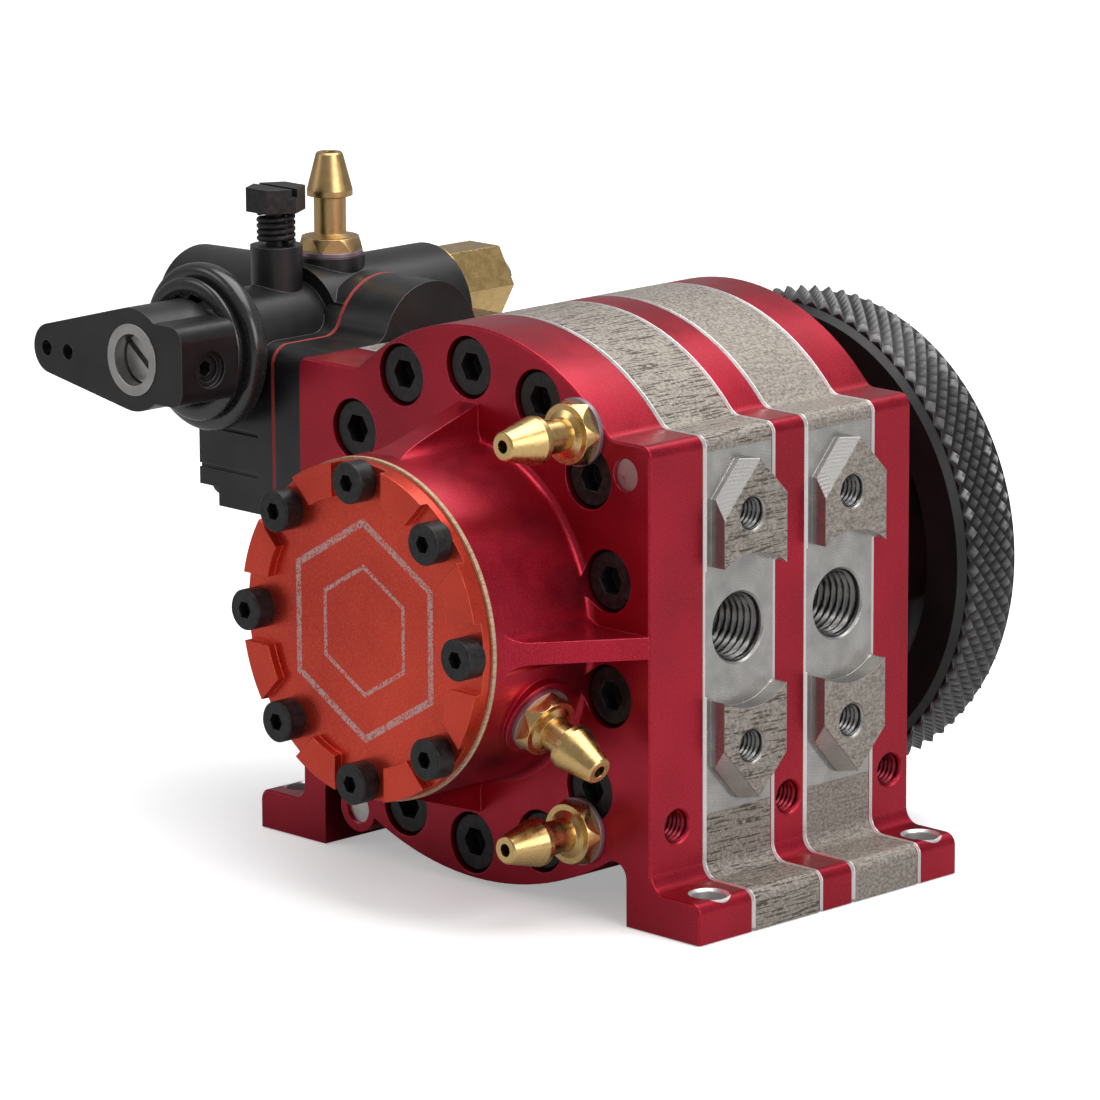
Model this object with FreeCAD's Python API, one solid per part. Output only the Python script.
import FreeCAD, Part
import math
import os

# Twin-rotor model glow engine, millimetres.
# X points to the glow-plug side, +Y to the flywheel, Z up.
# The origin is the centre of the four foot holes, on the underside of the feet.

# ---- driving dimensions -------------------------------------------------
FRONT_PLATE = 6.9            # thickness of the front end housing
ROTOR_WIDTH = 8.9            # thickness of each rotor housing
MIDDLE_PLATE = 4.2
REAR_PLATE = 5.1
SHAFT_Z = 26.1               # height of the shaft above the feet
HALF_WIDTH = 22.9            # side faces of the housings
FOOT_HALF = 29.0             # outer ends of the feet
FOOT_TOP = 3.75
LEG_INNER = 19.9
GENERATING_R = 16.7          # centre of a rotor to its apex
ECCENTRICITY = 2.3
BOSS_R = 15.65
BOSS_LENGTH = 11.8
FLYWHEEL_R = 23.4
CARB_X = -36.2               # throttle barrel axis, which runs along Y
CARB_Z = 45.3

# ---- places that follow from them ---------------------------------------
S_FRONT_ROTOR = FRONT_PLATE
S_MIDDLE = S_FRONT_ROTOR + ROTOR_WIDTH
S_REAR_ROTOR = S_MIDDLE + MIDDLE_PLATE
S_REAR = S_REAR_ROTOR + ROTOR_WIDTH
S_END = S_REAR + REAR_PLATE
FOOT_HOLE_S = (FRONT_PLATE / 2, S_END - REAR_PLATE / 2)
FRONT_FACE_Y = -sum(FOOT_HOLE_S) / 2
S_CARB = S_END / 2           # the carburettor sits half-way along the stack

FOOT_HOLE_X = 26.8
FOOT_HOLE_R = 1.6
M3_R = 1.5
M3_TAP_R = 1.25
M3_CLEAR_R = 1.6
M3_HEAD_R = 2.75
M2_R = 1.0
PLUG_R = 3.175               # 1/4-32 glow-plug thread
BOLT_SPOTS = [(0.0, 22.15), (8.87, 20.3), (15.25, 14.3), (17.65, 5.25)]
COOLANT_SPOT = (14.1, 18.3)
MANIFOLD_FACE_X = -29.3
GASKET_T = 0.4
COVER_SCREW_PITCH_R = 13.8
DOWEL_R = 1.5
RUN_GAP = 0.05               # radial clearance of a shaft in its bearing

UP = FreeCAD.Vector(0, 0, 1)
ALONG_X = FreeCAD.Vector(1, 0, 0)
ALONG_Y = FreeCAD.Vector(0, 1, 0)


# ---- small helpers -------------------------------------------------------
def sy(s):
    """Y of a station measured back from the face of the front end housing."""
    return FRONT_FACE_Y + s


def vec(x, y, z):
    return FreeCAD.Vector(x, y, z)


def y_rod(radius, s0, s1, x=0.0, z=SHAFT_Z):
    return Part.makeCylinder(radius, s1 - s0, vec(x, sy(s0), z), ALONG_Y)


def x_rod(radius, x0, x1, s, z):
    return Part.makeCylinder(radius, x1 - x0, vec(x0, sy(s), z), ALONG_X)


def z_rod(radius, z0, z1, x, s):
    return Part.makeCylinder(radius, z1 - z0, vec(x, sy(s), z0), UP)


def block(x0, x1, s0, s1, z0, z1):
    return Part.makeBox(x1 - x0, s1 - s0, z1 - z0, vec(x0, sy(s0), z0))


def y_tube(inner, outer, s0, s1, x=0.0, z=SHAFT_Z):
    return y_rod(outer, s0, s1, x, z).cut(y_rod(inner, s0 - 1, s1 + 1, x, z))


def y_turned(profile, x=0.0, z=SHAFT_Z):
    """Solid of revolution about a Y axis; profile is a list of (radius, station)."""
    points = [vec(x + r, sy(s), z) for r, s in profile]
    face = Part.Face(Part.makePolygon(points + points[:1]))
    return face.revolve(vec(x, 0, z), ALONG_Y, 360)


def plate_xz(points, s0, s1):
    """Flat plate between two stations; points are (x, z)."""
    wire = Part.makePolygon([vec(x, sy(s0), z) for x, z in points + points[:1]])
    return Part.Face(wire).extrude(vec(0, s1 - s0, 0))


def plate_yz(points, x0, x1):
    """Flat plate between two X places; points are (station, z)."""
    wire = Part.makePolygon([vec(x0, sy(s), z) for s, z in points + points[:1]])
    return Part.Face(wire).extrude(vec(x1 - x0, 0, 0))


def hex_prism(across_flats, start, axis, length):
    """Hexagonal prism from a point along an axis."""
    radius = across_flats / math.sqrt(3)
    points = [vec(radius * math.cos(math.radians(60 * i)), radius * math.sin(math.radians(60 * i)), 0)
              for i in range(7)]
    prism = Part.Face(Part.makePolygon(points)).extrude(vec(0, 0, length))
    prism.Placement = FreeCAD.Placement(start, FreeCAD.Rotation(UP, axis))
    return prism


def fillet_lines(shape, radius, spots, tolerance=0.35):
    """Round the edges parallel to Y that pass near the given (x, z) spots."""
    chosen = []
    for edge in shape.Edges:
        ends = [v.Point for v in edge.Vertexes]
        if len(ends) != 2 or abs(ends[0].x - ends[1].x) > 1e-3 or abs(ends[0].z - ends[1].z) > 1e-3:
            continue
        if any(math.hypot(ends[0].x - x, ends[0].z - z) < tolerance for x, z in spots):
            chosen.append(edge)
    return shape.makeFillet(radius, chosen) if chosen else shape


def drill(shape, tools):
    for tool in tools:
        shape = shape.cut(tool)
    return shape


def join(shapes):
    solid = shapes[0]
    for shape in shapes[1:]:
        solid = solid.fuse(shape)
    return solid.removeSplitter()


def save(name, *solids):
    shape = solids[0] if len(solids) == 1 else Part.makeCompound(list(solids))
    shape.exportStep(os.path.join("parts", name + ".step"))


def tie_bolt_spots():
    """The fourteen bolt places, as (x, z)."""
    spots = []
    for x, dz in BOLT_SPOTS:
        for sx in ((1,) if x == 0 else (1, -1)):
            spots += [(sx * x, SHAFT_Z + dz), (sx * x, SHAFT_Z - dz)]
    return spots


def coolant_spots():
    x, dz = COOLANT_SPOT
    return [(sx * x, SHAFT_Z + sz * dz) for sx in (1, -1) for sz in (1, -1)]


DOWEL_SPOTS = [(19.9, 41.3), (-15.4, 4.35)]


# ---- housings ------------------------------------------------------------
DOME_X, DOME_Z, DOME_R = 0.6, 29.2, 22.9
TOP_Z = 60.0                 # above everything in the stack
SHOULDER_RIGHT_Z = 44.2
SHOULDER_LEFT_Z = 46.2
PLATE_CHAMFER = 0.2
ROTOR_CHAMFER = 0.3          # the bright bevels along both edges of the rotor housings
ARCH_Z, ARCH_R = 33.0, 32.3  # the arch shares the X of the dome
DOWEL_LOBE_R = 2.3


def housing_outline(s0, s1, chamfer):
    """The outer shape that all five slices share: dome, shoulders, feet and the arch between the legs."""
    body = block(-HALF_WIDTH, HALF_WIDTH, s0, s1, 0, SHOULDER_RIGHT_Z)
    left = block(-HALF_WIDTH, 0, s0, s1, SHOULDER_RIGHT_Z - 1, SHOULDER_LEFT_Z)
    feet = block(-FOOT_HALF, FOOT_HALF, s0, s1, 0, FOOT_TOP)
    dome = y_rod(DOME_R, s0, s1, DOME_X, DOME_Z).common(block(-HALF_WIDTH, HALF_WIDTH, s0, s1, 0, TOP_Z))
    body = join([body, left, feet, dome])
    arch = block(-LEG_INNER, LEG_INNER, s0 - 1, s1 + 1, -1, 12)
    body = body.cut(arch.cut(y_rod(ARCH_R, s0 - 2, s1 + 2, DOME_X, ARCH_Z)))
    right_x = DOME_X + math.sqrt(DOME_R ** 2 - (SHOULDER_RIGHT_Z - DOME_Z) ** 2)
    left_x = DOME_X - math.sqrt(DOME_R ** 2 - (SHOULDER_LEFT_Z - DOME_Z) ** 2)
    arch_ends = [(x, ARCH_Z - math.sqrt(ARCH_R ** 2 - (x - DOME_X) ** 2)) for x in (LEG_INNER, -LEG_INNER)]
    body = fillet_lines(body, 1.5, [(right_x, SHOULDER_RIGHT_Z), (left_x, SHOULDER_LEFT_Z),
                                    (HALF_WIDTH, FOOT_TOP), (-HALF_WIDTH, FOOT_TOP),
                                    arch_ends[0], arch_ends[1]])
    body = fillet_lines(body, 1.1, [(HALF_WIDTH, SHOULDER_RIGHT_Z), (-HALF_WIDTH, SHOULDER_LEFT_Z),
                                    (FOOT_HALF, FOOT_TOP), (-FOOT_HALF, FOOT_TOP)])
    rims = [edge for edge in body.Edges if edge.BoundBox.YLength < 0.001 and on_outer_rim(edge.CenterOfMass)]
    body = body.makeChamfer(chamfer, rims)
    return join([body, y_rod(DOWEL_LOBE_R, s0, s1, *DOWEL_SPOTS[1])])


def on_outer_rim(point):
    """True over the dome, the shoulders, the sides and the tops of the feet."""
    return abs(point.x) > HALF_WIDTH - 0.8 and point.z > FOOT_TOP - 1.2 or point.z > SHOULDER_RIGHT_Z - 1.2


def trochoid_bore(radius, s0, s1):
    """The two-lobed chamber, its long axis upright."""
    count = 96
    points = []
    for i in range(count):
        a = 2 * math.pi * i / count
        along = ECCENTRICITY * math.cos(3 * a) + radius * math.cos(a)
        across = ECCENTRICITY * math.sin(3 * a) + radius * math.sin(a)
        points.append(vec(across, sy(s0), SHAFT_Z + along))
    curve = Part.BSplineCurve()
    curve.interpolate(points, PeriodicFlag=True)
    return Part.Face(Part.Wire(curve.toShape())).extrude(vec(0, s1 - s0, 0))


def stack_holes(s0, s1, radius):
    """Bolt clearance and dowel holes through one slice."""
    holes = [y_rod(radius, s0 - 1, s1 + 1, x, z) for x, z in tie_bolt_spots()]
    holes += [y_rod(DOWEL_R, s0 - 1, s1 + 1, x, z) for x, z in DOWEL_SPOTS]
    return holes


def coolant_holes(s0, s1):
    return [y_rod(1.2, s0, s1, x, z) for x, z in coolant_spots()]


def seal_seats(face_s, depth):
    """Counterbores for the coolant seals behind a joint face."""
    return [y_rod(SEAL_R + 0.05, face_s, face_s + depth, x, z) for x, z in coolant_spots()]


def foot_holes(s):
    """Foot holes with a small bevel at their upper mouths."""
    tools = []
    for x in (FOOT_HOLE_X, -FOOT_HOLE_X):
        tools.append(z_rod(FOOT_HOLE_R, -1, FOOT_TOP + 1, x, s))
        tools.append(Part.makeCone(FOOT_HOLE_R, FOOT_HOLE_R + 0.6, 0.6, vec(x, sy(s), FOOT_TOP - 0.25), UP))
    return tools


def side_hole(s, z, mouth_x, depth, radius=M3_R):
    """Threaded hole in the +X side, drawn at its outer diameter, with a bevelled mouth."""
    bevel = Part.makeCone(radius, radius + 0.4, 0.4, vec(mouth_x - 0.2, sy(s), z), ALONG_X)
    return x_rod(radius, mouth_x - depth, mouth_x + 5, s, z).fuse(bevel)


SIDE_HOLE_Z = 9.15
SIDE_HOLE_DEPTH = 5.0
PAD_HOLE_DEPTH = 4.2
PLUG_DEPTH = 5.9
SEAL_DEPTH = 0.7
SEAL_R = 1.8
BOSS_CAVITY_R = 12.0
BOSS_CAVITY_END = -5.2
BEARING_R = 6.5
FRONT_BEARING_S = (-4.9, 0.1)
GEAR_FLANGE_R = 8.2
GEAR_FLANGE_T = 1.7
HEAD_RECESS = 3.4
OIL_ANGLE = -24.8
OIL_S = -5.7


def oil_axis():
    a = math.radians(OIL_ANGLE)
    return vec(math.cos(a), 0, math.sin(a))


def oil_rod(radius, rho0, rho1):
    base = vec(0, sy(OIL_S), SHAFT_Z) + oil_axis() * rho0
    return Part.makeCylinder(radius, rho1 - rho0, base, oil_axis())


RIB_FRONT_S = -11.0
RIB_ROOT_R = 1.5             # concave radius where a rib leaves the boss
BOSS_FILLET = 0.7
# angle from +X towards +Z, distance the rib reaches from the shaft, thickness
RIBS = [(0, HALF_WIDTH, 2.0), (180, HALF_WIDTH, 2.0), (90, 19.0, 2.4), (270, 19.0, 2.4)]


def rib(angle, reach, thickness):
    """Gusset from the front of the boss out across the plate, with rounded roots."""
    profile = [(RIB_FRONT_S, 10.0), (RIB_FRONT_S, BOSS_R - 0.3), (0.0, reach), (0.0, 10.0)]
    corners = [vec(rho, sy(s), 0) for s, rho in profile + profile[:1]]
    wedge = Part.Face(Part.makePolygon(corners))
    half = thickness / 2 + RIB_ROOT_R
    root_end = BOSS_R + RIB_ROOT_R - 0.25
    thin = wedge.extrude(vec(0, 0, thickness))
    thin.translate(vec(0, 0, -thickness / 2))
    wide = wedge.extrude(vec(0, 0, 2 * half))
    wide.translate(vec(0, 0, -half))
    wide = wide.common(block(0, root_end, RIB_FRONT_S - 1, 1, -half, half))
    wide = drill(wide, [y_rod(RIB_ROOT_R, RIB_FRONT_S - 1, 1, root_end, z) for z in (-half, half)])
    shape = join([thin, wide])
    shape.rotate(vec(0, 0, 0), ALONG_Y, -angle)
    shape.translate(vec(0, 0, SHAFT_Z))
    return shape


def boss_on_plate():
    """Front plate with its boss and the small fillet where they meet."""
    body = join([housing_outline(0, FRONT_PLATE, PLATE_CHAMFER), y_rod(BOSS_R, -BOSS_LENGTH, 1)])
    foot = [edge for edge in body.Edges if abs(edge.Length - 2 * math.pi * BOSS_R) < 0.01
            and abs(edge.CenterOfMass.y - sy(0)) < 0.01]
    return body.makeFillet(BOSS_FILLET, foot)


def front_end_housing():
    seat = oil_rod(3.7, 10, 16.1)
    body = join([boss_on_plate(), seat] + [rib(*spec) for spec in RIBS])
    tools = [y_rod(BOSS_CAVITY_R, -BOSS_LENGTH - 1, BOSS_CAVITY_END),
             y_rod(BEARING_R, BOSS_CAVITY_END - 1, FRONT_BEARING_S[1]),
             y_rod(5.2, 0, FRONT_PLATE + 1),
             y_rod(GEAR_FLANGE_R, FRONT_PLATE - GEAR_FLANGE_T, FRONT_PLATE + 1),
             oil_rod(0.6, 9, 17),
             oil_rod(1.2, 13.5, 17),
             side_hole(FRONT_PLATE / 2, SIDE_HOLE_Z, HALF_WIDTH, SIDE_HOLE_DEPTH)]
    tools += stack_holes(0, FRONT_PLATE, M3_CLEAR_R) + coolant_holes(3.0, FRONT_PLATE + 1)
    tools += [y_rod(1.2, -1, 4.0, x, z) for x, z in coolant_spots() if x > 0]
    tools += [y_rod(M3_HEAD_R + 0.15, -1, HEAD_RECESS, x, z) for x, z in tie_bolt_spots()]
    tools += foot_holes(FOOT_HOLE_S[0])
    tools += [y_rod(M2_R, -BOSS_LENGTH - 1, -BOSS_LENGTH + 6, x, z) for x, z in cover_screw_spots()]
    return drill(body, tools)


PAD_T = 1.7                  # the raised pads stand this far off the side face
PAD_CHAMFER = 1.2
PAD_INSET = 0.85             # the pads start this far behind the front of each housing
PLUG_FACE_R = 7.1
PLUG_FACE_X = HALF_WIDTH - 0.1
PAD_HOLE_DZ = 10.68
PORT_Z = 37.6
PORT_R = 2.4
EXHAUST_Z = 13.2
HEADER_R, HEADER_DEPTH = 3.2, 3.9   # socket for the exhaust header in the side of a rotor housing
EXHAUST_R = 2.8


def side_pads(s0):
    """The two raised pads above and below the plug, pointed at their outer ends."""
    middle = s0 + ROTOR_WIDTH / 2
    front, back = s0 + PAD_INSET, s0 + ROTOR_WIDTH
    pads = []
    for sign in (1, -1):
        hole_z = SHAFT_Z + sign * PAD_HOLE_DZ
        points = [(front, SHAFT_Z), (front, hole_z + sign * 1.6), (middle - 0.6, hole_z + sign * 4.9),
                  (middle + 0.9, hole_z + sign * 4.9), (back, hole_z + sign * 1.3), (back, SHAFT_Z)]
        pad = plate_yz(points, HALF_WIDTH - 1, HALF_WIDTH + PAD_T)
        (s_a, z_a), (s_b, z_b) = points[1:3]
        corner = vec(HALF_WIDTH + PAD_T, sy((s_a + s_b) / 2), (z_a + z_b) / 2)
        edges = [edge for edge in pad.Edges if (edge.CenterOfMass - corner).Length < 0.01]
        pads.append(pad.makeChamfer(PAD_CHAMFER, edges))
    return pads


def rotor_housing(s0):
    """One water-jacketed chamber with its plug thread, ports and side pads."""
    s1 = s0 + ROTOR_WIDTH
    middle = (s0 + s1) / 2
    body = join([housing_outline(s0, s1, ROTOR_CHAMFER)] + side_pads(s0))
    tools = [trochoid_bore(GENERATING_R, s0 - 1, s1 + 1),
             x_rod(PLUG_FACE_R, PLUG_FACE_X, HALF_WIDTH + 5, middle, SHAFT_Z),
             side_hole(middle, SHAFT_Z, PLUG_FACE_X, PLUG_DEPTH, PLUG_R),
             x_rod(1.6, 10, HALF_WIDTH, middle, SHAFT_Z),
             x_rod(PORT_R, -HALF_WIDTH - 1, -10, middle, PORT_Z),
             x_rod(EXHAUST_R, -HALF_WIDTH - 1, -10, middle, EXHAUST_Z),
             x_rod(HEADER_R, -HALF_WIDTH - 1, HEADER_DEPTH - HALF_WIDTH, middle, EXHAUST_Z)]
    tools += [side_hole(middle, SHAFT_Z + sign * PAD_HOLE_DZ, HALF_WIDTH + PAD_T, PAD_HOLE_DEPTH)
              for sign in (1, -1)]
    tools += stack_holes(s0, s1, M3_CLEAR_R) + coolant_holes(s0 - 1, s1 + 1)
    tools += seal_seats(s0, SEAL_DEPTH)
    return drill(body, tools)


def middle_housing():
    body = housing_outline(S_MIDDLE, S_REAR_ROTOR, PLATE_CHAMFER)
    tools = [y_rod(MIDDLE_BUSH_R, S_MIDDLE - 1, S_REAR_ROTOR + 1),
             side_hole((S_MIDDLE + S_REAR_ROTOR) / 2, SIDE_HOLE_Z, HALF_WIDTH, SIDE_HOLE_DEPTH)]
    tools += stack_holes(S_MIDDLE, S_REAR_ROTOR, M3_CLEAR_R) + coolant_holes(S_MIDDLE - 1, S_REAR_ROTOR + 1)
    tools += seal_seats(S_MIDDLE, SEAL_DEPTH)
    return drill(body, tools)


REAR_BOSS_R = 10.0
REAR_BOSS_END = 38.0
REAR_BEARING_S = (31.3, 36.3)


def rear_end_housing():
    body = join([housing_outline(S_REAR, S_END, PLATE_CHAMFER), y_rod(REAR_BOSS_R, S_END - 1, REAR_BOSS_END)])
    tools = [y_rod(GEAR_FLANGE_R, S_REAR - 1, S_REAR + GEAR_FLANGE_T),
             y_rod(5.2, S_REAR, REAR_BOSS_END + 1),
             y_rod(BEARING_R, REAR_BEARING_S[0], REAR_BOSS_END + 1),
             side_hole(S_END - REAR_PLATE / 2, SIDE_HOLE_Z, HALF_WIDTH, SIDE_HOLE_DEPTH)]
    tools += [y_rod(M3_R, S_REAR - 1, S_END - 0.6, x, z) for x, z in tie_bolt_spots()]
    tools += [y_rod(DOWEL_R, S_REAR - 1, S_END - 1.5, x, z) for x, z in DOWEL_SPOTS]
    tools += coolant_holes(S_REAR - 1, S_REAR + 2.2)
    tools += seal_seats(S_REAR, SEAL_DEPTH)
    tools += foot_holes(FOOT_HOLE_S[1])
    return drill(body, tools)


def coolant_seals():
    """Ring seals round each coolant passage at every joint face."""
    seals = []
    for face_s in (S_FRONT_ROTOR, S_MIDDLE, S_REAR_ROTOR, S_REAR):
        seals += [y_tube(1.25, SEAL_R, face_s + 0.02, face_s + SEAL_DEPTH, x, z) for x, z in coolant_spots()]
    return seals


# ---- fasteners -----------------------------------------------------------
def cap_screw(axis_start, axis, shank_r, shank_length, head_r, head_length, socket_af):
    """Socket cap screw; axis_start is the seat under the head, axis points along the shank."""
    back = axis * -1
    shank = Part.makeCylinder(shank_r, shank_length, axis_start, axis)
    head = Part.makeCylinder(head_r, head_length, axis_start, back)
    rim = [edge for edge in head.Edges if (edge.CenterOfMass - axis_start).Length > head_length * 0.9]
    head = head.makeChamfer(head_r * 0.08, [rim[0]]) if rim else head
    socket = hex_prism(socket_af, axis_start + back * (head_length * 0.45), back, head_length)
    return shank.fuse(head).cut(socket).removeSplitter()


def tie_bolts():
    bolts = []
    for x, z in tie_bolt_spots():
        seat = vec(x, sy(HEAD_RECESS), z)
        bolts.append(cap_screw(seat, ALONG_Y, M3_R - 0.02, S_END - 1.0 - HEAD_RECESS, M3_HEAD_R, 3.0, 2.5))
    return bolts


def dowel_pins():
    return [y_rod(DOWEL_R - 0.01, 0.35, S_END - 1.7, x, z) for x, z in DOWEL_SPOTS]


def cover_screw_spots():
    return [(COVER_SCREW_PITCH_R * math.cos(math.radians(45 * i)),
             SHAFT_Z + COVER_SCREW_PITCH_R * math.sin(math.radians(45 * i))) for i in range(8)]


# ---- front cover ---------------------------------------------------------
COVER_R = 15.42
COVER_BACK = -BOSS_LENGTH - 0.4
COVER_FLOOR = -13.15
COVER_FACE = -14.0
SEGMENT_INNER_R = 12.35
NOTCH_WIDTH = 6.4            # gaps in the rim round the cover screws


def front_cover():
    """Round cover whose rim stands up between the screws."""
    disc = y_rod(COVER_R, COVER_FACE, COVER_BACK)
    pocket = y_rod(SEGMENT_INNER_R, COVER_FACE - 1, COVER_FLOOR)
    tools = [pocket]
    for x, z in cover_screw_spots():
        direction = vec(x, 0, z - SHAFT_Z)
        direction.normalize()
        angle = math.degrees(math.atan2(direction.z, direction.x))
        corner = vec(SEGMENT_INNER_R - 2, sy(COVER_FLOOR) - 3, -NOTCH_WIDTH / 2)
        notch = Part.makeBox(8, 3, NOTCH_WIDTH, corner)
        notch.rotate(vec(0, 0, 0), ALONG_Y, -angle)
        notch.translate(vec(0, 0, SHAFT_Z))
        tools.append(notch)
        tools.append(y_rod(M2_R + 0.1, COVER_FACE - 1, COVER_BACK + 1, x, z))
    return drill(disc, tools)


def cover_gasket():
    body = y_tube(BOSS_CAVITY_R, BOSS_R, COVER_BACK, -BOSS_LENGTH)
    return drill(body, [y_rod(M2_R + 0.1, -14, -10, x, z) for x, z in cover_screw_spots()])


def cover_screws():
    return [cap_screw(vec(x, sy(COVER_FLOOR), z), ALONG_Y, M2_R - 0.02, 6.4, 1.9, 2.0, 1.5)
            for x, z in cover_screw_spots()]


# ---- nipples -------------------------------------------------------------
NIPPLE_WASHER_T = 0.45


def nipple(seat, axis, length):
    """Hose nipple with hex flange, barb and bore, standing on its washer."""
    rotation = FreeCAD.Rotation(UP, axis)
    flange = 1.3
    barb_start = length - 4.3
    profile = [(0.55, -2.4), (1.15, -2.4), (1.15, 0), (2.2, 0), (2.2, flange), (1.55, flange + 0.3),
               (1.55, barb_start), (2.2, barb_start + 0.15), (2.2, barb_start + 0.7), (1.3, length - 0.15),
               (1.15, length), (0.6, length), (0.6, -2.4)]
    points = [vec(r, 0, h) for r, h in profile[1:]]
    body = Part.Face(Part.makePolygon(points + points[:1])).revolve(vec(0, 0, 0), UP, 360)
    hexagon = hex_prism(5.5, vec(0, 0, 0), UP, flange)
    hexagon = hexagon.common(Part.makeCone(3.1, 2.75, flange))
    hexagon = hexagon.cut(Part.makeCylinder(0.6, 10, vec(0, 0, -3)))
    body = body.fuse(hexagon).removeSplitter()
    body.Placement = FreeCAD.Placement(seat + axis * NIPPLE_WASHER_T, rotation)
    return body


def nipple_washer(seat, axis):
    ring = Part.makeCylinder(3.1, NIPPLE_WASHER_T, seat, axis)
    return ring.cut(Part.makeCylinder(1.2, 4, seat + axis * -1, axis))


def nipple_seats():
    """Name, seat centre, axis and length of the three water and oil nipples."""
    x, dz = COOLANT_SPOT
    forward = vec(0, -1, 0)
    oil_seat = vec(0, sy(OIL_S), SHAFT_Z) + oil_axis() * 16.1
    return [("coolant_nipple_upper", vec(x, sy(0), SHAFT_Z + dz), forward, 9.0),
            ("coolant_nipple_lower", vec(x, sy(0), SHAFT_Z - dz), forward, 9.0),
            ("oil_nipple", oil_seat, oil_axis(), 8.0)]


# ---- shaft, bearings and gears --------------------------------------------
SHAFT_R = 3.2
JOURNAL_R = 3.0
LOBE_R = 5.6
BUSH_R = 6.3
MIDDLE_BUSH_R = 4.7
GEAR_LENGTH = 2.4
SIDE_GAP = 0.15
FIXED_TEETH = 20
RING_TEETH = 30


def gear_blank(teeth, root_r, tip_r, width_share, s0, s1):
    """External toothed wheel with straight-sided teeth."""
    pitch = 2 * math.pi / teeth
    points = []
    for i in range(teeth):
        a = i * pitch
        for offset, r in ((-0.5 * width_share, root_r), (-0.26 * width_share, tip_r),
                          (0.26 * width_share, tip_r), (0.5 * width_share, root_r)):
            points.append((r * math.sin(a + offset * pitch), SHAFT_Z + r * math.cos(a + offset * pitch)))
    return plate_xz(points, s0, s1)


def fixed_gear(s_face, direction):
    """Gear and flange that sits in an end housing; direction is +1 towards the rotor at the back."""
    s0, s1 = sorted((s_face, s_face + direction * GEAR_LENGTH))
    f0, f1 = sorted((s_face, s_face - direction * (GEAR_FLANGE_T - 0.05)))
    pitch_r = 2 * ECCENTRICITY
    teeth = gear_blank(FIXED_TEETH, pitch_r - 0.5, pitch_r + 0.34, 0.8, s0, s1)
    body = join([teeth, y_rod(GEAR_FLANGE_R - 0.02, f0, f1), y_rod(4.1, min(s0, f0), max(s1, f1))])
    return body.cut(y_rod(SHAFT_R + 0.15, s0 - 5, s1 + 5))


def ring_gear(s0, s1, offset_z):
    """Internal gear in a rotor, centred on that rotor's lobe, in mesh with its fixed gear."""
    pitch_r = 3 * ECCENTRICITY
    hollow = gear_blank(RING_TEETH, pitch_r - 0.34, pitch_r + 0.5, 0.9, s0 - 1, s1 + 1)
    hollow.translate(vec(0, 0, offset_z))
    return y_rod(8.3, s0, s1, 0, SHAFT_Z + offset_z).cut(hollow)


def eccentric_shaft():
    """Shaft with two lobes half a turn apart; the rear end is tapered and threaded for the flywheel."""
    e = ECCENTRICITY
    parts = [y_rod(JOURNAL_R - 0.01, -10.6, 0.6),
             y_rod(SHAFT_R, 0.6, S_END - 3.0),
             y_rod(JOURNAL_R - 0.01, S_END - 3.1, 42.0),
             y_turned([(0, 42.0), (JOURNAL_R - 0.01, 42.0), (JOURNAL_R - 0.01, 50.4), (2.48, 50.9),
                       (2.48, 56.6), (2.1, 57.0), (0, 57.0)]),
             y_rod(LOBE_R, S_FRONT_ROTOR + 3.0, S_MIDDLE - SIDE_GAP, 0, SHAFT_Z + e),
             y_rod(LOBE_R, S_REAR_ROTOR + SIDE_GAP, S_REAR - 3.0, 0, SHAFT_Z - e)]
    return join(parts).cut(y_rod(1.25, -11, -3.0))


def bearing_races(s0, s1):
    """Outer ring, inner ring, retainer and balls of a 6 x 13 x 5 ball bearing."""
    groove = Part.makeTorus(4.75, 1.12, vec(0, sy((s0 + s1) / 2), SHAFT_Z), ALONG_Y)
    outer = y_tube(5.35, BEARING_R - 0.01, s0, s1).cut(groove)
    inner = y_tube(JOURNAL_R, 4.15, s0, s1).cut(groove)
    middle = (s0 + s1) / 2
    cage = y_tube(4.3, 5.2, middle - 1.5, middle + 1.5)
    balls = []
    for i in range(7):
        a = 2 * math.pi * i / 7
        centre = vec(4.75 * math.cos(a), sy(middle), SHAFT_Z + 4.75 * math.sin(a))
        balls.append(Part.makeSphere(1.0, centre))
        outward = vec(math.cos(a), 0, math.sin(a))
        cage = cage.cut(Part.makeCylinder(1.08, 3, centre - outward * 1.5, outward))
    return outer, inner, cage, balls


def middle_bush():
    """Split bush between the rotors, in two halves."""
    tube = y_tube(SHAFT_R + RUN_GAP, MIDDLE_BUSH_R - 0.01, S_MIDDLE + 0.1, S_REAR_ROTOR - 0.1)
    upper = tube.common(block(-9, 9, S_MIDDLE - 1, S_REAR_ROTOR + 1, SHAFT_Z + 0.02, SHAFT_Z + 9))
    lower = tube.common(block(-9, 9, S_MIDDLE - 1, S_REAR_ROTOR + 1, SHAFT_Z - 9, SHAFT_Z - 0.02))
    return upper, lower


def front_counterweight():
    """Half-disc weight on the front of the shaft, opposite the front lobe."""
    sector = y_rod(11.2, -10.4, -5.6).common(block(-12, 12, -11, -5, SHAFT_Z - 12, SHAFT_Z - 1.5))
    hub = y_rod(5.0, -10.4, -5.1)
    return join([hub, sector]).cut(y_rod(JOURNAL_R, -12, -4))


def counterweight_screw():
    return cap_screw(vec(0, sy(-10.62), SHAFT_Z), ALONG_Y, M3_TAP_R - 0.02, 7.0, 2.7, 1.3, 2.0)


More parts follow.
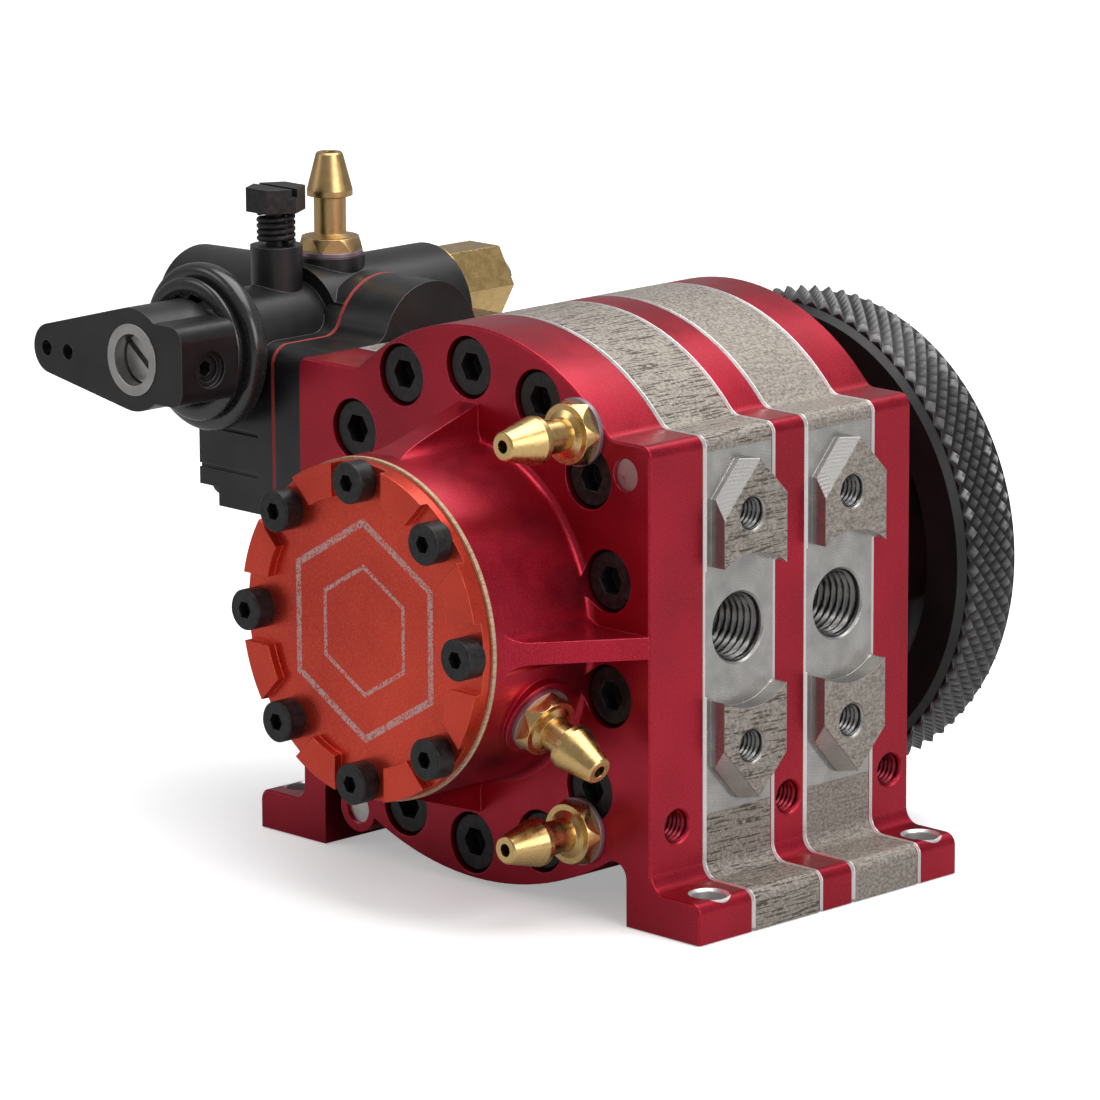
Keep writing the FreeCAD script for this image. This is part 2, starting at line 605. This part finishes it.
def flywheel():
    """Rimmed flywheel with a chamfered knurled edge and a coned bore."""
    rim_in = 18.6
    profile = [(4.2, 38.4), (7.0, 38.4), (7.0, 43.2), (17.0, 43.2), (18.2, 41.6), (22.0, 41.6),
               (FLYWHEEL_R, 42.3), (FLYWHEEL_R, 48.3), (22.6, 49.0), (rim_in, 49.0),
               (rim_in - 1.2, 46.0), (8.0, 46.0), (8.0, 49.0), (5.6, 49.0)]
    body = y_turned(profile)
    return drill(body, [y_rod(1.6, 40, 50, 12.6 * math.cos(a), SHAFT_Z + 12.6 * math.sin(a))
                        for a in [math.radians(60 * i + 30) for i in range(6)]])


def flywheel_cone():
    """Split cone that grips the shaft inside the flywheel."""
    body = y_turned([(JOURNAL_R, 38.5), (4.17, 38.5), (5.57, 49.0), (5.57, 49.3), (JOURNAL_R, 49.3)])
    return body.cut(block(-0.3, 0.3, 38, 50, SHAFT_Z, SHAFT_Z + 8))


def flywheel_nut():
    body = hex_prism(8.0, vec(0, sy(51.0), SHAFT_Z), ALONG_Y, 4.0)
    washer = y_tube(JOURNAL_R + 0.05, 5.2, 49.4, 51.0)
    return body.cut(y_rod(2.5, 50, 56)), washer


# ---- rotors --------------------------------------------------------------
ROTOR_APEX_R = 16.2
ROTOR_FLANK_R = 11.7
RECESS_AT, RECESS_R = 13.1, 3.0   # combustion pocket in each flank


def rotor_body(s0, s1, sign):
    """Three-cornered rotor with bowed flanks; sign +1 points its apex up, -1 down."""
    centre_z = SHAFT_Z + sign * ECCENTRICITY
    edges = []
    for i in range(3):
        a0, a1 = math.radians(120 * i), math.radians(120 * (i + 1))
        am = (a0 + a1) / 2
        ends = [(ROTOR_APEX_R * math.sin(a), ROTOR_APEX_R * math.cos(a)) for a in (a0, a1)]
        mid = (ROTOR_FLANK_R * math.sin(am), ROTOR_FLANK_R * math.cos(am))
        spots = [vec(x, sy(s0), centre_z + sign * z) for x, z in (ends[0], mid, ends[1])]
        edges.append(Part.Arc(*spots).toShape())
    body = Part.Face(Part.Wire(edges)).extrude(vec(0, s1 - s0, 0))
    for i in range(3):
        a = math.radians(120 * i + 60)
        x, z = RECESS_AT * math.sin(a), centre_z + sign * RECESS_AT * math.cos(a)
        body = body.cut(y_rod(RECESS_R, s0 + 1.5, s1 - 1.5, x, z))
    return body


def apex_slot(s0, s1, sign, index, gap):
    """Radial slot block at one apex; gap widens it for the slot."""
    slot = Part.makeBox(0.9 + gap, s1 - s0, 2.4, vec(-(0.9 + gap) / 2, sy(s0), SHAFT_Z + 14.1))
    slot.rotate(vec(0, 0, SHAFT_Z), ALONG_Y, 120 * index + (0 if sign > 0 else 180))
    slot.translate(vec(0, 0, sign * ECCENTRICITY))
    return slot


def rotor_set(s_housing, gear_front, sign):
    """Rotor, ring gear, bush and apex seals of one chamber."""
    s0, s1 = s_housing + SIDE_GAP, s_housing + ROTOR_WIDTH - SIDE_GAP
    centre_z = SHAFT_Z + sign * ECCENTRICITY
    gear_s = (s0, s0 + 2.4) if gear_front else (s1 - 2.4, s1)
    bush_s = (s0 + 2.8, s1) if gear_front else (s0, s1 - 2.8)
    body = rotor_body(s0, s1, sign)
    body = body.cut(y_rod(BUSH_R, s0 - 1, s1 + 1, 0, centre_z))
    body = body.cut(y_rod(8.3, gear_s[0] - (1 if gear_front else 0), gear_s[1] + (0 if gear_front else 1),
                          0, centre_z))
    seals = []
    for i in range(3):
        body = body.cut(apex_slot(s0 - 0.5, s1 + 0.5, sign, i, 0.06))
        seals.append(apex_slot(s0 + 0.02, s1 - 0.02, sign, i, 0.0))
    gear = ring_gear(gear_s[0], gear_s[1], sign * ECCENTRICITY)
    bush = y_tube(LOBE_R + RUN_GAP, BUSH_R - 0.01, bush_s[0], bush_s[1], 0, centre_z)
    return body, gear, bush, seals


# ---- intake and carburettor -----------------------------------------------
MANIFOLD_S = (2.8, 31.2)
MANIFOLD_BOTTOM = 29.4
MANIFOLD_TOP = 45.9
CARB_DOME_Z = 45.0
CARB_DOME_R = 6.05
BORE_R = 3.3


def flange_outline(x0, x1):
    """Outline shared by the manifold, its gasket and the carburettor flange."""
    body = block(x0, x1, MANIFOLD_S[0], MANIFOLD_S[1], MANIFOLD_BOTTOM, MANIFOLD_TOP)
    corner = []
    for edge in body.Edges:
        centre = edge.CenterOfMass
        if abs(edge.Vertexes[0].X - edge.Vertexes[-1].X) > 1e-3 and centre.z > MANIFOLD_TOP - 0.1:
            corner.append(edge)
    body = body.makeFillet(2.0, corner)
    body = join([body, x_rod(CARB_DOME_R, x0, x1, S_CARB, CARB_DOME_Z)])
    reach = math.sqrt(CARB_DOME_R ** 2 - (MANIFOLD_TOP - CARB_DOME_Z) ** 2)
    valley = [edge for edge in body.Edges if abs(edge.CenterOfMass.z - MANIFOLD_TOP) < 0.01
              and abs(abs(edge.CenterOfMass.y - sy(S_CARB)) - reach) < 0.01]
    return body.makeFillet(2.0, valley)


def flange_screw_spots():
    return [(6.0, 31.6), (S_END - 6.0, 31.6)]


def intake_manifold():
    """Block that joins the carburettor bore to the intake port of both chambers."""
    body = flange_outline(MANIFOLD_FACE_X, -HALF_WIDTH - 0.02)
    ports = [S_FRONT_ROTOR + ROTOR_WIDTH / 2, S_REAR_ROTOR + ROTOR_WIDTH / 2]
    tools = [x_rod(BORE_R, MANIFOLD_FACE_X - 1, -26.2, S_CARB, CARB_Z),
             block(-28.0, -24.8, ports[0] - PORT_R, ports[1] + PORT_R, PORT_Z - PORT_R, PORT_Z + PORT_R),
             block(-28.0, -24.8, S_CARB - 2.4, S_CARB + 2.4, PORT_Z, CARB_Z + 1)]
    tools += [x_rod(PORT_R, -26, -HALF_WIDTH + 1, s, PORT_Z) for s in ports]
    tools += [x_rod(M3_TAP_R, MANIFOLD_FACE_X - 1, -24.4, s, z) for s, z in flange_screw_spots()]
    return drill(body, tools)


def carb_gasket():
    body = flange_outline(MANIFOLD_FACE_X - GASKET_T, MANIFOLD_FACE_X)
    tools = [x_rod(BORE_R, -35, -25, S_CARB, CARB_Z)]
    tools += [x_rod(M3_R, -35, -25, s, z) for s, z in flange_screw_spots()]
    return drill(body, tools)


FLANGE_T = 2.0
CARB_FLANGE_X = MANIFOLD_FACE_X - GASKET_T
BARREL_HOUSING_R = 6.3
BARREL_R = 4.3
BARREL_HOUSING_S = (12.0, 29.2)
BOOT_NECK_R = 4.95           # slimmer front part of the body, which the boot and the stop post share
LUG_X = -40.1
HORN_END_X = -55.8
STOP_SCREW_S = 9.5
FUEL_S = 16.45
POST_TOP = 53.9
WEB_TOP = 48.7                # flat between the barrel housing and the flange
NIPPLE_SEAT_Z = 52.15
STOP_HEAD_Z = 57.2
NEEDLE_Z = CARB_Z + 1.7      # main needle axis
LUG_SEAT_X = -37.4
BARREL_END_S = 26.0
REST_ANGLE = 45.0            # the barrel rests half-way between shut and open
STEM_R = 3.4
ARM_S = (-8.75, -2.0)


def carb_body():
    """Flange, barrel housing, air horn, lugs, and the posts for the fuel inlet and the stop screw."""
    flange = flange_outline(CARB_FLANGE_X - FLANGE_T, CARB_FLANGE_X)
    barrel = y_rod(BARREL_HOUSING_R, BARREL_HOUSING_S[0], BARREL_HOUSING_S[1], CARB_X, CARB_Z)
    web = block(CARB_X, CARB_FLANGE_X, BARREL_HOUSING_S[0], 26.0, 40.0, WEB_TOP)
    seat = z_rod(3.3, CARB_Z, NIPPLE_SEAT_Z, CARB_X, FUEL_S)
    neck = y_rod(BOOT_NECK_R, 1.2, BARREL_HOUSING_S[0] + 1, CARB_X, CARB_Z)
    root = block(CARB_X, CARB_FLANGE_X, 7.2, BARREL_HOUSING_S[0] + 1, 41.0, 44.0)
    lugs = [block(LUG_X, CARB_FLANGE_X, s0, s1, MANIFOLD_BOTTOM, 40.6)
            for s0, s1 in ((MANIFOLD_S[0], 8.6), (25.4, MANIFOLD_S[1]))]
    horn = Part.makeCone(5.6, 6.0, -42 - HORN_END_X, vec(HORN_END_X, sy(S_CARB), CARB_Z - 0.3), ALONG_X)
    horn_root = x_rod(6.0, -42.2, CARB_X, S_CARB, CARB_Z - 0.3)
    post = z_rod(2.5, CARB_Z, POST_TOP, CARB_X, STOP_SCREW_S)
    body = join([flange, barrel, web, seat, neck, root] + lugs + [horn, horn_root, post])
    tools = [y_rod(BARREL_R, -1, BARREL_END_S + 0.4, CARB_X, CARB_Z),
             y_rod(2.6, 27.4, 31, CARB_X, NEEDLE_Z),
             y_rod(0.5, 25, 28, CARB_X, NEEDLE_Z),
             x_rod(BORE_R, -46, -20, S_CARB, CARB_Z),
             Part.makeCone(4.6, BORE_R, -45.9 - HORN_END_X, vec(HORN_END_X - 0.01, sy(S_CARB), CARB_Z - 0.2),
                           ALONG_X),
             z_rod(M2_R, CARB_Z, POST_TOP + 1, CARB_X, STOP_SCREW_S),
             z_rod(1.15, CARB_Z, NIPPLE_SEAT_Z + 1, CARB_X, FUEL_S),
             z_rod(1.0, WEB_TOP - 2.5, WEB_TOP + 1, -34.0, 13.6)]
    tools += [x_rod(M3_R, LUG_X - 5, -20, s, z) for s, z in flange_screw_spots()]
    return drill(body, tools + lug_cuts())


def lug_cuts():
    """Screw seats, the lower outer notch and the two shallow grooves of both lugs."""
    cuts = [x_rod(2.2, LUG_X - 1, LUG_SEAT_X, s, z) for s, z in flange_screw_spots()]
    cuts.append(block(LUG_X - 1, LUG_SEAT_X, MANIFOLD_S[0] - 1, MANIFOLD_S[1] + 1, 29, 31.2))
    for z in (37.0, 33.05):
        for s in MANIFOLD_S:
            cuts.append(block(LUG_X - 1, CARB_FLANGE_X - FLANGE_T, s - 0.25, s + 0.25, z - 0.2, z + 0.2))
    return cuts


def carb_screws():
    """Two screws through the lower lugs hold the carburettor to the manifold."""
    length = 4.3 + (CARB_FLANGE_X - LUG_SEAT_X)
    return [cap_screw(vec(LUG_SEAT_X, sy(s), z), ALONG_X, M3_TAP_R - 0.02, length, 2.0, 2.6, 2.0)
            for s, z in flange_screw_spots()]


def fuel_nipple():
    return nipple(vec(CARB_X, sy(FUEL_S), NIPPLE_SEAT_Z), UP, 9.4)


def needle_housing():
    """Brass housing for the main needle, screwed into the back of the barrel housing."""
    lip = y_rod(4.3, 29.25, 30.1, CARB_X, NEEDLE_Z)
    hexagon = hex_prism(7.2, vec(CARB_X, sy(30.0), NEEDLE_Z), ALONG_Y, 6.9)
    spigot = y_rod(2.58, 27.4, 30.2, CARB_X, NEEDLE_Z)
    return join([lip, hexagon, spigot]).cut(y_rod(1.0, 20, 40, CARB_X, NEEDLE_Z))


def main_needle():
    """Tapered needle with a slotted head in the brass housing."""
    body = y_turned([(0, 27.2), (0.35, 27.2), (0.95, 30.5), (0.95, 37.0), (1.9, 37.0), (1.9, 38.8),
                     (0, 38.8)], CARB_X, NEEDLE_Z)
    return body.cut(block(CARB_X - 3, CARB_X + 3, 38.1, 39, NEEDLE_Z - 0.3, NEEDLE_Z + 0.3))


def throttle_barrel():
    """Barrel with its cross bore and stop groove; the front end is the bright rim round the idle needle."""
    body = join([y_rod(BARREL_R - RUN_GAP, 1.0, BARREL_END_S, CARB_X, CARB_Z),
                 y_rod(STEM_R, ARM_S[0] - 0.1, 1.1, CARB_X, CARB_Z)])
    cross_bore = x_rod(BORE_R - 0.1, CARB_X - 10, CARB_X + 10, S_CARB, CARB_Z)
    cross_bore.rotate(vec(CARB_X, 0, CARB_Z), ALONG_Y, -REST_ANGLE)
    tools = [cross_bore,
             y_rod(2.45, -11, -4.3, CARB_X, CARB_Z),
             y_rod(1.05, -6, 14, CARB_X, CARB_Z),
             y_tube(2.4, 5.0, STOP_SCREW_S - 1.3, STOP_SCREW_S + 1.3, CARB_X, CARB_Z)]
    return drill(body, tools)


def idle_needle():
    """Slotted screw inside the rim of the barrel, with the thin needle behind it."""
    body = y_turned([(0, -7.45), (2.3, -7.45), (2.4, -7.25), (2.4, -4.4), (0.95, -4.4), (0.95, 8.0),
                     (0.3, 13.0), (0, 13.0)], CARB_X, CARB_Z)
    slot = block(-3, 3, -9, -6.75, -0.33, 0.33)
    slot.rotate(vec(0, 0, 0), ALONG_Y, 38)
    slot.translate(vec(CARB_X, 0, CARB_Z))
    return body.cut(slot)


LEVER_T = 1.9
HUB_R = 4.9
ARM_TIP = (-48.0, CARB_Z - 0.5)
ARM_TIP_R = 2.4
ROD_HOLES_X = (-48.55, -45.5)
CLAMP_FACE_X = -29.2
CLAMP_SCREW_AT = (-5.2, CARB_Z - 0.5)    # station and height of the set screw


def lever_plate(s0, s1):
    """Flat strap that wraps the hub circle and the tip circle."""
    dx, dz = ARM_TIP[0] - CARB_X, ARM_TIP[1] - CARB_Z
    length = math.hypot(dx, dz)
    lean = math.acos((HUB_R - ARM_TIP_R) / length)
    heading = math.atan2(dz, dx)
    corners = []
    for x, z, r, side in ((CARB_X, CARB_Z, HUB_R, 1), ARM_TIP + (ARM_TIP_R, 1), ARM_TIP + (ARM_TIP_R, -1),
                          (CARB_X, CARB_Z, HUB_R, -1)):
        angle = heading + side * lean
        corners.append((x + r * math.cos(angle), z + r * math.sin(angle)))
    return join([plate_xz(corners, s0, s1), y_rod(ARM_TIP_R, s0, s1, *ARM_TIP)])


def throttle_arm():
    """Lever with two rod holes on a clamp hub that grips the barrel."""
    hub = y_rod(HUB_R, ARM_S[0], ARM_S[1], CARB_X, CARB_Z)
    clamp = block(CARB_X + 0.5, CLAMP_FACE_X, ARM_S[0], ARM_S[1], CARB_Z - 3.8, CARB_Z + 3.8)
    clamp = fillet_lines(clamp, 1.5, [(CLAMP_FACE_X, CARB_Z - 3.8), (CLAMP_FACE_X, CARB_Z + 3.8)])
    body = join([lever_plate(ARM_S[0], ARM_S[0] + LEVER_T), hub, clamp])
    tools = [y_rod(STEM_R + 0.01, -12, 0, CARB_X, CARB_Z)]
    tools += [y_rod(0.75, -12, 0, x, ARM_TIP[1]) for x in ROD_HOLES_X]
    tools.append(x_rod(M3_TAP_R, CARB_X, CLAMP_FACE_X + 1, *CLAMP_SCREW_AT))
    tools.append(x_rod(1.75, CLAMP_FACE_X - 0.5, CLAMP_FACE_X + 1, *CLAMP_SCREW_AT))
    return drill(body, tools)


def arm_clamp_screw():
    s, z = CLAMP_SCREW_AT
    body = x_rod(M3_TAP_R - 0.02, CARB_X + STEM_R + 0.05, CLAMP_FACE_X - 0.8, s, z)
    return body.cut(hex_prism(1.3, vec(CLAMP_FACE_X - 2.3, sy(s), z), ALONG_X, 3))


def throttle_boot():
    """Ribbed rubber boot between the carburettor body and the throttle arm."""
    outer = [(5.4, -1.7), (6.1, -1.6), (6.35, -1.15), (6.2, -0.8), (7.1, -0.5), (7.7, -0.1), (7.85, 0.4),
             (7.6, 0.95), (7.0, 1.3), (6.5, 1.5), (6.4, 2.0), (6.1, 2.4), (5.6, 2.6)]
    inner = [(5.0, 2.6), (5.0, 1.3), (6.6, 0.8), (6.6, 0.1), (5.2, -0.6), (4.2, -1.0), (4.2, -1.7)]
    return y_turned(outer + inner, CARB_X, CARB_Z)


def stop_screw():
    """Idle stop screw with a slotted hexagon head."""
    top = STOP_HEAD_Z + 2.3
    head = hex_prism(5.0, vec(CARB_X, sy(STOP_SCREW_S), STOP_HEAD_Z), UP, 2.3)
    shank = z_rod(M2_R - 0.04, CARB_Z + 3.0, STOP_HEAD_Z + 0.1, CARB_X, STOP_SCREW_S)
    slot = block(CARB_X - 4, CARB_X + 4, STOP_SCREW_S - 0.35, STOP_SCREW_S + 0.35, top - 0.8, top + 1)
    return join([head, shank]).cut(slot)


WIRE_SIDES = 8      # flats round the spring wire


def stop_spring():
    """Compression spring between the post and the screw head, its wire drawn with flats."""
    turns, wire_r, coil_r = 4.6, 0.28, 1.6
    bottom, top = POST_TOP + wire_r + 0.01, STOP_HEAD_Z - wire_r - 0.01
    helix = Part.makeHelix((top - bottom) / turns, top - bottom, coil_r)
    helix.translate(vec(CARB_X, sy(STOP_SCREW_S), bottom))
    start = helix.Vertexes[0].Point
    turns_of_corner = [2 * math.pi * (i + 0.5) / WIRE_SIDES for i in range(WIRE_SIDES)]
    corners = [start + vec(wire_r * math.cos(t), 0, wire_r * math.sin(t)) for t in turns_of_corner]
    section = Part.makePolygon(corners + corners[:1])
    return Part.Wire(helix.Edges).makePipeShell([section], True, True)


# ---- write every piece ----------------------------------------------------
def main():
    os.makedirs("parts", exist_ok=True)
    save("front_end_housing", front_end_housing())
    save("front_rotor_housing", rotor_housing(S_FRONT_ROTOR))
    save("middle_housing", middle_housing())
    save("rear_rotor_housing", rotor_housing(S_REAR_ROTOR))
    save("rear_end_housing", rear_end_housing())
    save("coolant_seals", *coolant_seals())
    save("tie_bolts", *tie_bolts())
    save("dowel_pins", *dowel_pins())
    save("front_cover", front_cover())
    save("cover_gasket", cover_gasket())
    save("cover_screws", *cover_screws())
    washers = []
    for name, seat, axis, length in nipple_seats():
        save(name, nipple(seat, axis, length))
        washers.append(nipple_washer(seat, axis))
    save("nipple_washers", *washers)
    save("eccentric_shaft", eccentric_shaft())
    for place, (s0, s1) in (("front", FRONT_BEARING_S), ("rear", REAR_BEARING_S)):
        outer, inner, cage, balls = bearing_races(s0, s1)
        save(place + "_bearing_outer_ring", outer)
        save(place + "_bearing_inner_ring", inner)
        save(place + "_bearing_cage", cage)
        save(place + "_bearing_balls", *balls)
    save("middle_bush", *middle_bush())
    save("front_fixed_gear", fixed_gear(FRONT_PLATE, 1))
    save("rear_fixed_gear", fixed_gear(S_REAR, -1))
    save("shaft_seal", y_tube(JOURNAL_R + 0.04, BEARING_R - 0.01, 36.4, 37.9))
    save("front_counterweight", front_counterweight())
    save("counterweight_screw", counterweight_screw())
    save("flywheel", flywheel())
    save("flywheel_cone", flywheel_cone())
    nut, washer = flywheel_nut()
    save("flywheel_nut", nut)
    save("flywheel_washer", washer)
    for place, s_housing, gear_front, sign in (("front", S_FRONT_ROTOR, True, 1),
                                               ("rear", S_REAR_ROTOR, False, -1)):
        body, gear, bush, seals = rotor_set(s_housing, gear_front, sign)
        save(place + "_rotor", body)
        save(place + "_ring_gear", gear)
        save(place + "_rotor_bush", bush)
        save(place + "_apex_seals", *seals)
    save("intake_manifold", intake_manifold())
    save("carb_gasket", carb_gasket())
    save("carb_body", carb_body())
    save("carb_screws", *carb_screws())
    save("fuel_nipple", fuel_nipple())
    save("fuel_nipple_washer", nipple_washer(vec(CARB_X, sy(FUEL_S), NIPPLE_SEAT_Z), UP))
    save("needle_housing", needle_housing())
    save("main_needle", main_needle())
    save("throttle_barrel", throttle_barrel())
    save("idle_needle", idle_needle())
    save("throttle_arm", throttle_arm())
    save("arm_clamp_screw", arm_clamp_screw())
    save("throttle_boot", throttle_boot())
    save("stop_screw", stop_screw())
    save("stop_spring", stop_spring())


main()
